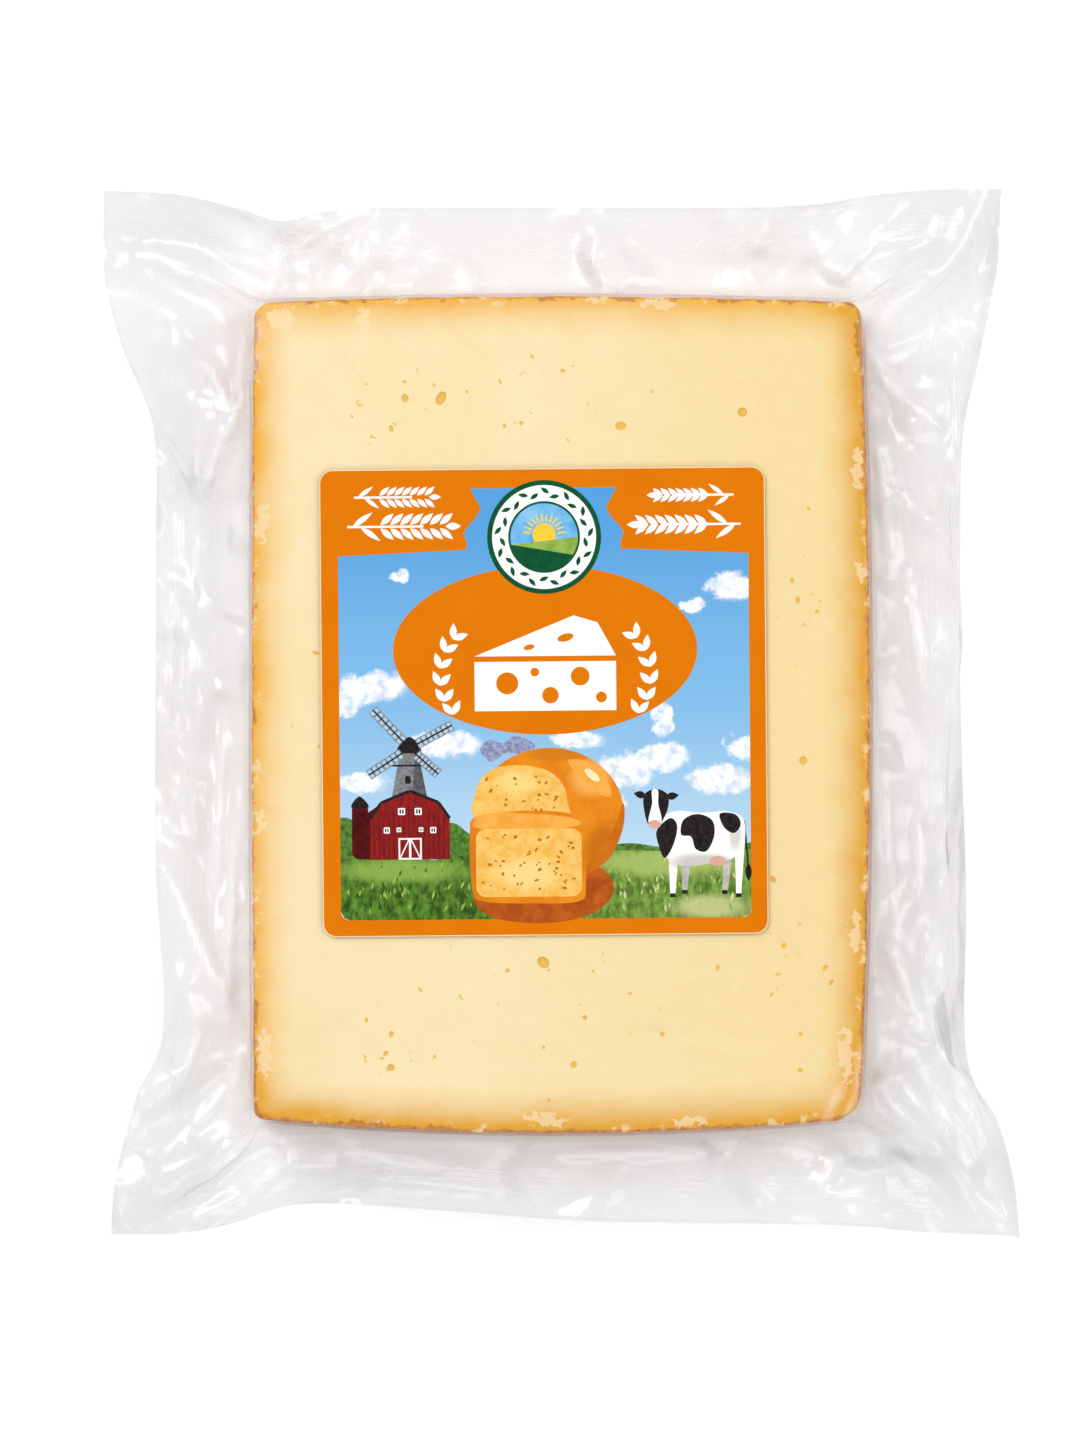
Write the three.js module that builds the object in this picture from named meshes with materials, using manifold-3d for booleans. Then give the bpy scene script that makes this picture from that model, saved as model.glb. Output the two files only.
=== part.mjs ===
// A slab of semi-hard cheese in a clear vacuum pouch, with a paper label stuck on the pouch.
// Millimetres, +Z up. The pack lies flat with its label up. The origin is the centre of its
// underside's bounding box, +Y runs along the slab's length and +X across it.

import * as THREE from "three";
import { mergeVertices } from "three/addons/utils/BufferGeometryUtils.js";
import Module from "manifold-3d";

// The slab: a cross-cut of a block of cheese, with the block's rind on its four sides.
const SLAB_WIDTH = 110;
const SLAB_LENGTH = 148;
const SLAB_THICKNESS = 17;
const SLAB_EDGE_RADIUS = 1.6;
const SLAB_CORNER_RADII = { frontLeft: 4, frontRight: 11, backRight: 5, backLeft: 4 };
// How far each side of the slab swells past the straight line between its corners.
const SLAB_SWELL = { front: 2.6, right: 1.8, back: 1.1, left: 0.4 };
// The slab lies a little off the pouch's centre.
const SLAB_OFFSET = new THREE.Vector2(-0.8, 0.3);

// The pouch: two equal films, welded round the slab.
const FILM_THICKNESS = 0.2;
const FILM_CLEARANCE = 0.3;
const WELD_GAP = 0.3;
// The flat margin from the slab's sides out to the pouch's edge, at the waist of each side.
const MARGIN_SIDE = 18.5;
const MARGIN_END = 18.2;
// How far the pouch's corners stand out past the waists, and how long that flare is.
const FLARE_SIDE = 9.8;
const FLARE_END = 3.3;
const FLARE_LENGTH_SIDE = 44;
const FLARE_LENGTH_END = 34;
// Where the film leaves the slab's wall and slopes out to the margin.
const SLOPE_WIDTH = 3.2;
const SLOPE_HEIGHT = 4.2;

// The label, off the pouch's centre as a machine or a hand would place it.
const LABEL_WIDTH = 80.5;
const LABEL_LENGTH = 85;
const LABEL_THICKNESS = 0.15;
const LABEL_CORNER_RADIUS = 2.8;
const LABEL_CLEARANCE = 0.05;
const LABEL_OFFSET = new THREE.Vector2(-3.2, 1.9);

const CURVE_SEGMENTS = 8;
const EDGE_SEGMENTS = 3;

const wasm = await Module();
wasm.setup();

// Heights that follow from the sizes above.
const skinDepth = FILM_THICKNESS + FILM_CLEARANCE;
const middleHeight = skinDepth + SLAB_THICKNESS / 2;
const topHeight = 2 * middleHeight;

// ---------- outlines ----------

// A rectangle whose sides swell outwards, with a radius of its own at each corner.
function swollenRectangle(width, length, radii, swell) {
  const x = width / 2;
  const y = length / 2;
  const { frontLeft: fl, frontRight: fr, backRight: br, backLeft: bl } = radii;
  return new THREE.Shape()
    .moveTo(-x + fl, -y)
    .quadraticCurveTo((fl - fr) / 2, -y - 2 * swell.front, x - fr, -y)
    .quadraticCurveTo(x, -y, x, -y + fr)
    .quadraticCurveTo(x + 2 * swell.right, (fr - br) / 2, x, y - br)
    .quadraticCurveTo(x, y, x - br, y)
    .quadraticCurveTo((bl - br) / 2, y + 2 * swell.back, -x + bl, y)
    .quadraticCurveTo(-x, y, -x, y - bl)
    .quadraticCurveTo(-x - 2 * swell.left, (fl - bl) / 2, -x, -y + fl)
    .quadraticCurveTo(-x, -y, -x + fl, -y);
}

// A pouch's outline: four pointed corners that flare out from a straight waist on each side.
function flaredOutline(waistWidth, waistLength) {
  const waist = new THREE.Vector2(waistWidth / 2, waistLength / 2);
  const corner = new THREE.Vector2(waist.x + FLARE_SIDE, waist.y + FLARE_END);
  const sideBend = corner.y - FLARE_LENGTH_SIDE;
  const endBend = corner.x - FLARE_LENGTH_END;
  const sideEase = FLARE_LENGTH_SIDE / 2;
  const endEase = FLARE_LENGTH_END / 2;
  const outline = new THREE.Shape().moveTo(-endBend, -waist.y);
  // Each corner is an S out from one waist to the tip, and an S back in to the next waist.
  const corners = [
    { sx: 1, sy: -1, endFirst: true },
    { sx: 1, sy: 1, endFirst: false },
    { sx: -1, sy: 1, endFirst: true },
    { sx: -1, sy: -1, endFirst: false },
  ];
  for (const { sx, sy, endFirst } of corners) {
    const end = [
      [sx * endBend, sy * waist.y],
      [sx * (endBend + endEase), sy * waist.y],
      [sx * (corner.x - endEase), sy * corner.y],
    ];
    const side = [
      [sx * waist.x, sy * sideBend],
      [sx * waist.x, sy * (sideBend + sideEase)],
      [sx * corner.x, sy * (corner.y - sideEase)],
    ];
    const [first, second] = endFirst ? [end, side] : [side, end];
    outline.lineTo(...first[0]);
    outline.bezierCurveTo(...first[1], ...first[2], sx * corner.x, sy * corner.y);
    outline.bezierCurveTo(...second[2], ...second[1], ...second[0]);
  }
  return outline;
}

function roundedRectangle(width, length, radius) {
  const x = width / 2;
  const y = length / 2;
  return new THREE.Shape()
    .moveTo(-x + radius, -y)
    .lineTo(x - radius, -y)
    .absarc(x - radius, -y + radius, radius, -Math.PI / 2, 0)
    .lineTo(x, y - radius)
    .absarc(x - radius, y - radius, radius, 0, Math.PI / 2)
    .lineTo(-x + radius, y)
    .absarc(-x + radius, y - radius, radius, Math.PI / 2, Math.PI)
    .lineTo(-x, -y + radius)
    .absarc(-x + radius, -y + radius, radius, Math.PI, 1.5 * Math.PI);
}

// ---------- solids ----------

// A plate of the outline, centred on z = 0, grown outwards by grow. Its rim is rounded where
// rimWidth and rimHeight are given, or sloped where slope is true.
function plate(outline, thickness, { grow = 0, rimWidth = 0, rimHeight = 0, slope = false } = {}) {
  const rimmed = rimWidth > 0;
  const depth = thickness - 2 * rimHeight;
  return new THREE.ExtrudeGeometry(outline, {
    depth,
    curveSegments: CURVE_SEGMENTS,
    bevelEnabled: rimmed,
    bevelThickness: rimHeight,
    bevelSize: rimWidth,
    bevelOffset: grow - rimWidth,
    bevelSegments: slope ? 1 : EDGE_SEGMENTS,
  }).translate(0, 0, -depth / 2);
}

// A plate that follows the slab, so it is centred where the slab is.
function platedSlab(...sizes) {
  return plate(...sizes).translate(SLAB_OFFSET.x, SLAB_OFFSET.y, 0);
}

// The slab's own shape, grown by a clearance, with its edge radius grown to match.
function slabShape(outline, grow) {
  const radius = SLAB_EDGE_RADIUS + grow;
  const rim = { grow, rimWidth: radius, rimHeight: radius };
  return platedSlab(outline, SLAB_THICKNESS + 2 * grow, rim);
}

// The sloped skirt between the slab's wall and the margin, on both sides of the weld.
function skirtShape(outline, grow) {
  const height = WELD_GAP + 2 * SLOPE_HEIGHT + 2 * grow;
  return platedSlab(outline, height, {
    grow: grow + SLOPE_WIDTH,
    rimWidth: SLOPE_WIDTH,
    rimHeight: SLOPE_HEIGHT,
    slope: true,
  });
}

function toSolid(geometry) {
  const bare = geometry.clone();
  bare.deleteAttribute("normal");
  bare.deleteAttribute("uv");
  const merged = mergeVertices(bare);
  return new wasm.Manifold(
    new wasm.Mesh({
      numProp: 3,
      vertProperties: merged.attributes.position.array,
      triVerts: new Uint32Array(merged.index.array),
    }),
  );
}

function toGeometry(solid) {
  const { vertProperties, triVerts } = solid.getMesh();
  const geometry = new THREE.BufferGeometry();
  geometry.setAttribute("position", new THREE.BufferAttribute(vertProperties, 3));
  geometry.setIndex(new THREE.BufferAttribute(triVerts, 1));
  geometry.computeVertexNormals();
  return geometry;
}

// Both films as one hollow wrap, centred on the weld at z = 0 and not yet parted.
function wrapSolid(slabOutline, pouchOutline) {
  const margin = plate(pouchOutline, WELD_GAP + 2 * FILM_THICKNESS);
  const outside = toSolid(slabShape(slabOutline, skinDepth))
    .add(toSolid(skirtShape(slabOutline, skinDepth)))
    .add(toSolid(margin));
  return outside
    .subtract(toSolid(slabShape(slabOutline, FILM_CLEARANCE)))
    .subtract(toSolid(skirtShape(slabOutline, FILM_CLEARANCE)));
}

// The part of the wrap above the weld (side = 1) or below it (side = -1).
function filmSolid(wrap, reach, side) {
  const half = new THREE.BoxGeometry(2 * reach.x, 2 * reach.y, topHeight);
  half.translate(0, 0, (side * (topHeight + WELD_GAP)) / 2);
  return wrap.intersect(toSolid(half));
}

// ---------- materials ----------

const cheeseMaterial = new THREE.MeshStandardMaterial({
  color: 0xf7e0a4,
  roughness: 0.55,
  metalness: 0,
});
const filmMaterial = new THREE.MeshStandardMaterial({
  color: 0xeef0f2,
  roughness: 0.12,
  metalness: 0,
  transparent: true,
  opacity: 0.25,
});
const labelMaterial = new THREE.MeshStandardMaterial({
  color: 0xe07b00,
  roughness: 0.45,
  metalness: 0,
});

// ---------- the pack ----------

function namedMesh(name, geometry, material, height) {
  const mesh = new THREE.Mesh(geometry, material);
  mesh.name = name;
  mesh.position.z = height;
  return mesh;
}

const slabOutline = swollenRectangle(SLAB_WIDTH, SLAB_LENGTH, SLAB_CORNER_RADII, SLAB_SWELL);
const pouchOutline = flaredOutline(
  SLAB_WIDTH + 2 * MARGIN_SIDE,
  SLAB_LENGTH + 2 * MARGIN_END,
);
const pouchReach = new THREE.Vector2(
  SLAB_WIDTH / 2 + MARGIN_SIDE + FLARE_SIDE,
  SLAB_LENGTH / 2 + MARGIN_END + FLARE_END,
);
const wrap = wrapSolid(slabOutline, pouchOutline);

const cheese = namedMesh(
  "cheese_slab",
  slabShape(slabOutline, 0),
  cheeseMaterial,
  middleHeight,
);
const upperFilm = namedMesh(
  "upper_film",
  toGeometry(filmSolid(wrap, pouchReach, 1)),
  filmMaterial,
  middleHeight,
);
const lowerFilm = namedMesh(
  "lower_film",
  toGeometry(filmSolid(wrap, pouchReach, -1)),
  filmMaterial,
  middleHeight,
);
const label = namedMesh(
  "label",
  plate(roundedRectangle(LABEL_WIDTH, LABEL_LENGTH, LABEL_CORNER_RADIUS), LABEL_THICKNESS),
  labelMaterial,
  topHeight + LABEL_CLEARANCE + LABEL_THICKNESS / 2,
);
label.position.x = LABEL_OFFSET.x;
label.position.y = LABEL_OFFSET.y;

const pack = new THREE.Group();
pack.add(cheese, lowerFilm, upperFilm, label);

export default pack;
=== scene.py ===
"""Looks of a slab of semi-hard cheese in a clear vacuum pouch with a printed label.

Every size is in metres and every place is worked out from the frame. The pouch's two films
are settled by a small simulation: flat sheets, welded along their edges, are drawn over the
slab by the vacuum, which gives the folds at the corners and the creases in the margins.
"""

import math
import random

import bmesh
import bpy
import numpy as np
from mathutils import Matrix, Vector, noise
from mathutils.geometry import delaunay_2d_cdt


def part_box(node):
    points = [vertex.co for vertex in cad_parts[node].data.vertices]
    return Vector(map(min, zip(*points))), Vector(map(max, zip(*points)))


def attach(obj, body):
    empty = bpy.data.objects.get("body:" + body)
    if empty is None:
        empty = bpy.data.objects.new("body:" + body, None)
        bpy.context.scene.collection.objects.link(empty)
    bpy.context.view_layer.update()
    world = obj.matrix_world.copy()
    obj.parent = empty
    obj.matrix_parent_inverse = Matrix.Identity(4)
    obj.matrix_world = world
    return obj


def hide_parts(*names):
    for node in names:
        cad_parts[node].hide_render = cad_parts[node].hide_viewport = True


MM = 0.001

# The slab: how far its sides swell past the straight line between its corners, and its radii.
SWELL = {"right": 1.8 * MM, "left": 0.4 * MM, "back": 1.1 * MM, "front": 2.6 * MM}
CORNER_RADII = {"back_left": 3 * MM, "back_right": 2.6 * MM,
                "front_left": 2 * MM, "front_right": 4.5 * MM}
EDGE_RADIUS = 0.9 * MM
SIDE_CUTS = 110
WEAR_DEPTH = 0.14 * MM
FACE_INSET = 0.6 * MM

# The films as cut, before the vacuum drew them in, and how far they keep off each other and
# off the slab.
FILM_WIDTH = 166 * MM
FILM_LENGTH = 197 * MM
FILM_GAP = 0.12 * MM
FILM_LIFT = 0.45 * MM

# How the films settle. There are three grids, each twice as fine as the one before, and a round
# pulls the threads right several times.
FIRST_ROWS = 38
FIRST_COLUMNS = 33
SETTLE_ROUNDS = (70, 40, 40)
THREAD_PASSES = 9
# How much of a wrong length one pass puts right: against bending, on each grid, and on the
# diagonals.
BEND_STIFFNESS = (0.05, 0.08, 0.12)
SHEAR_STIFFNESS = 0.6
# In this share of the first rounds the pouch's edge is drawn in, and the slab between the films
# grows from the first half height to its own.
DRAW_IN_SHARE = 0.7
START_HALF_HEIGHT = 0.3 * MM
START_LIFT = 0.2 * MM
# The chance bumps: how high they are on the first grid, and how far they keep off the slab.
CHANCE_BUMP = 0.6 * MM
BUMP_CLEARANCE = 0.5 * MM
# How much of its speed a film keeps from round to round, and the most that it may keep.
CARRIED_SPEED = 0.9
TOP_SPEED = 1.5 * MM
# How far each round presses a film on, as a share of the grid's step, and how far it sinks.
VACUUM = 0.045
WEIGHT = 0.003 * MM
# How high a pinched fold stands, as a share of its width.
FOLD_HEIGHT = 0.6
# How far from the slab a film counts as near it, as off its wall, and as in a wide corner.
NEAR_REACH = 18 * MM
OFF_REACH = 0.7 * MM
CORNER_REACH = 9 * MM

# The pouch's edge from above, each side as a smooth line through these points, in millimetres
# from the pouch's centre.
POUCH_EDGE = {
    "left": [(-82.1, -95), (-81, -84), (-77.3, -70), (-72.4, -57), (-73.6, -25), (-74, 30),
             (-74.6, 52), (-80, 66.5), (-83.2, 80), (-83.3, 95)],
    "right": [(83.3, -95.4), (82.1, -85), (79, -74), (73.4, -62), (73.2, -30), (72.6, 0),
              (73, 46), (76.2, 64), (79.6, 81), (80.3, 95.4)],
    "back": [(-83.3, 95), (-70, 94.2), (-58, 91.2), (-50.3, 89), (-38, 91.4), (-4, 91.8),
             (40, 91.8), (56, 94), (68, 95.2), (80.3, 95.4)],
    "front": [(-82.1, -95), (-70, -95), (-60, -93.2), (-50, -90.2), (-40, -89.8), (-20, -91),
              (5, -92.6), (50, -93.2), (64, -94.4), (83.3, -95.4)],
}

# The label is stuck on a little askew.
LABEL_TURN = math.radians(0.5)
LABEL_THICKNESS = 0.12 * MM

# Folds pinched into the films: from x, y to x, y and the width, in millimetres from the pouch's
# centre.
FOLDS = [
    # right, from the slab's back corner down
    (54, 69, 63, 55.5, 2.2), (63, 56.5, 70.5, 51, 1.6), (50.5, 78.5, 57.5, 85.5, 1.3),
    (57.5, 85.5, 68, 87, 1.3), (68, 87, 69.5, 91, 1.6), (56.5, 63.5, 66.5, 67, 1.5),
    (66.5, 67, 69, 73, 1.5), (70.5, 75.5, 73.5, 64.5, 1.3), (75.5, 87, 75.5, 77, 1.0),
    (57, 50, 60.5, 28, 1.4), (62.5, 27.5, 66, 2.5, 1.5), (56.5, 2.5, 58.5, -34, 1.3),
    (60, -42, 67, -60, 2.4), (64.5, -18, 66, -40, 1.3), (59, -10, 60.5, -38, 1.0),
    # the slab's front right corner
    (46.5, -75.5, 51.5, -66.5, 1.5), (50.5, -75, 53.5, -68, 1.1), (53, -73, 54, -59, 1.0),
    (56.5, -66.5, 64, -75, 1.5), (60.5, -65.5, 68, -74.5, 1.6), (68, -74.5, 72.5, -78, 1.4),
    (67.5, -68.5, 71.5, -77, 1.3), (46, -87.5, 50.5, -80, 2.8), (46, -87.5, 57.5, -86.5, 1.0),
    (61, -81.5, 67.5, -87.5, 2.4), (71.5, -75, 75.5, -87.5, 1.4), (75.5, -87.5, 82, -93, 1.3),
    (62.5, -56, 69, -60.5, 2.2), (74, -70, 77.5, -82, 1.1), (54, -76.5, 60.5, -84.5, 1.4),
    # front
    (-44.5, -79.5, -20.5, -84, 1.7), (-2, -80.5, 26, -80, 1.5), (-40, -84.5, -8, -87.5, 1.0),
    # the slab's front left corner
    (-57.5, -60.5, -60, -69.5, 1.6), (-60.5, -67.5, -69, -78.5, 1.6),
    (-48.5, -80.5, -58, -88, 2.2), (-58, -88, -69, -92.5, 1.4), (-54.5, -76, -50, -78.5, 1.5),
    (-49.5, -77, -49.5, -83.5, 1.3), (-65, -57, -69, -66.5, 1.5), (-56.5, -77.5, -66, -88, 1.3),
    # left
    (-61, 2.5, -63, -34, 1.4), (-59.5, -19.5, -60.5, -52.5, 1.3), (-70.5, 27.5, -71, 2.5, 1.1),
    (-66, 51.5, -67.5, 28.5, 1.2), (-61, 51.5, -66, 37.5, 1.5), (-66, 37.5, -67.5, 18.5, 1.3),
    (-65, 64, -60.5, 57, 1.6), (-56.5, 58, -56.5, -8, 1.2), (-56.5, -14, -56, -58, 1.2),
    # the slab's back left corner, where the film stands off in a little pocket
    (-74, 81, -57.5, 77, 1.4), (-57.5, 77, -55, 74.5, 1.2), (-64.5, 84.5, -52, 79.5, 1.5),
    (-52, 79.5, -53.5, 75.5, 1.2), (-52, 89.5, -51, 77, 1.3), (-51, 82, -39.5, 90, 1.4),
    (-57, 71.5, -59, 55, 1.4), (-59, 55, -61, 49, 1.2), (-55.5, 72.5, -54.5, 66, 1.8),
    (-54.5, 66, -56.5, 59.5, 1.8), (-57, 70, -55, 66.5, 1.5), (-55, 66.5, -57, 61.5, 1.5),
]

# The eyes and slits that show in the slab's cut face: x and y from its centre, and the radius
# before EYE_SIZE, in millimetres. Small specks are scattered between them.
EYE_SIZE = 0.88
EYE_DEPTH = 0.6
LONGEST_EYE = 1.7
EYES = [
    (-21, 56.5, 1.0), (-27.5, 56.5, 0.85), (11.5, 51.5, 1.05), (33.5, 54, 1.0),
    (-2.5, -45.5, 1.15), (44.5, -9, 0.95), (-4.5, 64, 0.5), (1, 61.5, 0.4),
    (-6.5, 52, 0.45), (-9.5, 51.5, 0.4), (-30, 51, 0.5), (-33.5, 49.5, 0.45),
    (-34.5, 59, 0.4), (42.5, 23.5, 0.45), (43.5, 20, 0.6), (47, 18, 0.5),
    (45.5, 36.5, 0.4), (39, -30.5, 0.6), (41, -42.5, 0.7), (48.5, -46.5, 0.5),
    (-9, -47, 0.6), (29, -46.5, 0.45), (19, -58.5, 0.7), (5, -55.5, 0.5),
    (3, -64, 0.75), (-1.5, -70.5, 0.45), (-30, -64.5, 0.75), (-31, -62, 0.5),
    (-30, -58.5, 0.55), (-34.5, -56, 0.4), (44, -58.5, 0.5), (44, -65, 0.5),
]
# Where the scattered specks gather: x, y, spread and how many. They keep off the slab's edge.
SPECK_RADII = (0.22, 0.44)
SPECK_LIMITS = (50, 69)
LONGEST_SPECK = 2.6
SPECKS = [
    (-30, 54, 5, 12), (-6, 58, 7, 16), (44, 20, 5, 16), (43, -45, 5, 10), (-10, -48, 6, 10),
    (-30, -60, 5, 12), (10, -55, 16, 14), (0, 45, 30, 12), (-46, 0, 5, 5),
]

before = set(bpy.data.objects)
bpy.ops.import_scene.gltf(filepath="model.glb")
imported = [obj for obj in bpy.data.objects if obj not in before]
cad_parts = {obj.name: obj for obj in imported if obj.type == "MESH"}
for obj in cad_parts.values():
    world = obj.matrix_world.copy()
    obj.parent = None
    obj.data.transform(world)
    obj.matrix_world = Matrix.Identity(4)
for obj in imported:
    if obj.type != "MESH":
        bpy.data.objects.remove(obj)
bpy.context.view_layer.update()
slab_low, slab_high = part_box("cheese_slab")
label_low, label_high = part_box("label")
middle = (slab_low.z + slab_high.z) / 2


# ---------- the slab's outline, which the slab and the films share ----------

class Slab:
    """Where the slab's straight sides are, and how far it reaches at any place along them."""

    right = slab_high.x - SWELL["right"]
    left = slab_low.x + SWELL["left"]
    back = slab_high.y - SWELL["back"]
    front = slab_low.y + SWELL["front"]
    centre = Vector(((right + left) / 2, (back + front) / 2, middle))
    half = Vector(((right - left) / 2, (back - front) / 2, (slab_high.z - slab_low.z) / 2))


def corner_radius(x, y):
    """The radius of the slab's corner nearest to a place counted from its centre."""
    back = np.where(x > 0, CORNER_RADII["back_right"], CORNER_RADII["back_left"])
    front = np.where(x > 0, CORNER_RADII["front_right"], CORNER_RADII["front_left"])
    return np.where(y > 0, back, front)


def swelling(along, half):
    """1 at the middle of a side and 0 at its corners."""
    return np.clip(1 - (along / half) ** 2, 0, 1)


def reach(x, y):
    """The slab's half width and half length at a place counted from its centre."""
    end_bow = swelling(x, Slab.half.x)
    side_bow = swelling(y, Slab.half.y)
    half_x = Slab.half.x + np.where(x > 0, SWELL["right"], SWELL["left"]) * side_bow
    half_y = Slab.half.y + np.where(y > 0, SWELL["back"], SWELL["front"]) * end_bow
    return half_x, half_y


# ---------- the films, drawn over the slab by the vacuum ----------

def smooth_line(points, count):
    """count places, evenly spaced, on a smooth line through the points."""
    p = np.array(points, float) * MM
    p = np.vstack([2 * p[0] - p[1], p, 2 * p[-1] - p[-2]])
    t = np.linspace(0, 1, 24, endpoint=False)[:, None]
    stretches = []
    for a, b, c, d in zip(p, p[1:], p[2:], p[3:]):
        bend = (2 * a - 5 * b + 4 * c - d) * t**2 + (-a + 3 * b - 3 * c + d) * t**3
        stretches.append((2 * b + (c - a) * t + bend) / 2)
    line = np.vstack([*stretches, p[-2:-1]])
    run = np.r_[0, np.cumsum(np.linalg.norm(np.diff(line, axis=0), axis=1))]
    even = np.linspace(0, run[-1], count)
    return np.c_[np.interp(even, run, line[:, 0]), np.interp(even, run, line[:, 1])]


# Which way each sheet faces away from the slab: the upper one first.
OUTWARD = np.array([1.0, -1.0])[:, None, None]


def slab_depth(sheets, half_height):
    """How deep each point of the sheets is in the slab, and the way out of it."""
    x = sheets[..., 0] - Slab.centre.x
    y = sheets[..., 1] - Slab.centre.y
    z = sheets[..., 2] * OUTWARD
    half_x, half_y = reach(x, y)
    radius = corner_radius(x, y)
    over_x = np.abs(x) - half_x + radius
    over_y = np.abs(y) - half_y + radius
    round_x = np.maximum(over_x, 0)
    round_y = np.maximum(over_y, 0)
    corner = np.hypot(round_x, round_y)
    past_wall = corner + np.minimum(np.maximum(over_x, over_y), 0) - radius
    safe = np.maximum(corner, 1e-12)
    way_x = np.where(corner > 1e-9, round_x / safe, over_x > over_y) * np.sign(x)
    way_y = np.where(corner > 1e-9, round_y / safe, over_x <= over_y) * np.sign(y)
    wall = past_wall + EDGE_RADIUS
    face = z - half_height + EDGE_RADIUS
    edge = np.hypot(np.maximum(wall, 0), np.maximum(face, 0))
    past = edge + np.minimum(np.maximum(wall, face), 0) - EDGE_RADIUS - FILM_LIFT
    safe = np.maximum(edge, 1e-12)
    out = np.where(edge > 1e-9, np.maximum(wall, 0) / safe, wall > face)
    up = np.where(edge > 1e-9, np.maximum(face, 0) / safe, wall <= face)
    # A point under the middle of the slab leaves it by its own sheet's face.
    lost = (z < 0) & (past_wall < -3 * MM)
    past = np.where(lost, z - half_height, past)
    out = np.where(lost, 0, out)
    up = np.where(lost, 1, up)
    return past, np.stack([way_x * out, way_y * out, OUTWARD * up], -1)


def pull(first, second, rest, share, only_short=False):
    """Moves pairs of points towards the distance that the film allows them."""
    apart = second - first
    length = np.sqrt((apart * apart).sum(-1)) + 1e-12
    error = (length - rest) / length
    if only_short:
        error = np.minimum(error, 0)
    move = apart * (0.5 * share * error)[..., None]
    first += move
    second -= move


def hold_film(sheets, step_x, step_y, bend):
    """One pass over the film's threads: along, across, on both diagonals, and against bending."""
    rows, columns = sheets.shape[1:3]
    diagonal = math.hypot(step_x, step_y)
    for start in (0, 1):
        across = 2 * ((columns - 1 - start) // 2)
        along = 2 * ((rows - 1 - start) // 2)
        near = slice(start, start + across, 2)
        far = slice(start + 1, start + 1 + across, 2)
        low = slice(start, start + along, 2)
        high = slice(start + 1, start + 1 + along, 2)
        pull(sheets[:, :, near], sheets[:, :, far], step_x, 1)
        pull(sheets[:, low], sheets[:, high], step_y, 1)
        pull(sheets[:, :-1, near], sheets[:, 1:, far], diagonal, SHEAR_STIFFNESS)
        pull(sheets[:, :-1, far], sheets[:, 1:, near], diagonal, SHEAR_STIFFNESS)
    for start in range(4):
        column = np.arange(start, columns - 2, 4)
        first, second = sheets[:, :, column], sheets[:, :, column + 2]
        pull(first, second, 2 * step_x, bend, only_short=True)
        sheets[:, :, column], sheets[:, :, column + 2] = first, second
        row = np.arange(start, rows - 2, 4)
        first, second = sheets[:, row], sheets[:, row + 2]
        pull(first, second, 2 * step_y, bend, only_short=True)
        sheets[:, row], sheets[:, row + 2] = first, second


def facing(sheets):
    """The normals of the sheets, upwards on both."""
    across = np.gradient(sheets, axis=2)
    along = np.gradient(sheets, axis=1)
    normal = np.cross(across, along)
    return normal / (np.linalg.norm(normal, axis=-1, keepdims=True) + 1e-15)


def twice_as_fine(sheets):
    """The same sheets with a new point halfway between each two."""
    count, rows, columns, _ = sheets.shape
    fine = np.empty((count, 2 * rows - 1, 2 * columns - 1, 3))
    fine[:, ::2, ::2] = sheets
    fine[:, 1::2, ::2] = (sheets[:, 1:] + sheets[:, :-1]) / 2
    fine[:, :, 1::2] = (fine[:, :, 2::2] + fine[:, :, :-2:2]) / 2
    return fine


def hold_edges(sheets, edges, drawn_in):
    """Keeps the weld's edge on its outline from above; it is free to rise and fall."""
    rows, columns = sheets.shape[1:3]
    along = np.linspace(-FILM_LENGTH / 2, FILM_LENGTH / 2, rows)
    across = np.linspace(-FILM_WIDTH / 2, FILM_WIDTH / 2, columns)
    flat = {
        "left": np.c_[np.full(rows, -FILM_WIDTH / 2), along],
        "right": np.c_[np.full(rows, FILM_WIDTH / 2), along],
        "front": np.c_[across, np.full(columns, -FILM_LENGTH / 2)],
        "back": np.c_[across, np.full(columns, FILM_LENGTH / 2)],
    }
    place = {k: edges[k] * drawn_in + flat[k] * (1 - drawn_in) for k in edges}
    sheets[:, :, 0, :2] = place["left"]
    sheets[:, :, -1, :2] = place["right"]
    sheets[:, 0, :, :2] = place["front"]
    sheets[:, -1, :, :2] = place["back"]


def flat_films(rows, columns):
    """Both films lying flat, one over the other."""
    sheets = np.zeros((2, rows, columns, 3))
    sheets[..., 0] = np.linspace(-FILM_WIDTH / 2, FILM_WIDTH / 2, columns)[None, None, :]
    sheets[..., 1] = np.linspace(-FILM_LENGTH / 2, FILM_LENGTH / 2, rows)[None, :, None]
    sheets[..., 2] = OUTWARD * START_LIFT
    return sheets


def press_together(sheets):
    """Where the sheets meet they cling to each other."""
    mean = sheets.mean(0)
    touching = sheets[0, ..., 2] - sheets[1, ..., 2] < FILM_GAP
    for sheet, side in zip(sheets, (0.5, -0.5)):
        sheet[touching] = mean[touching]
        sheet[..., 2] += np.where(touching, side * FILM_GAP, 0)


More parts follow.
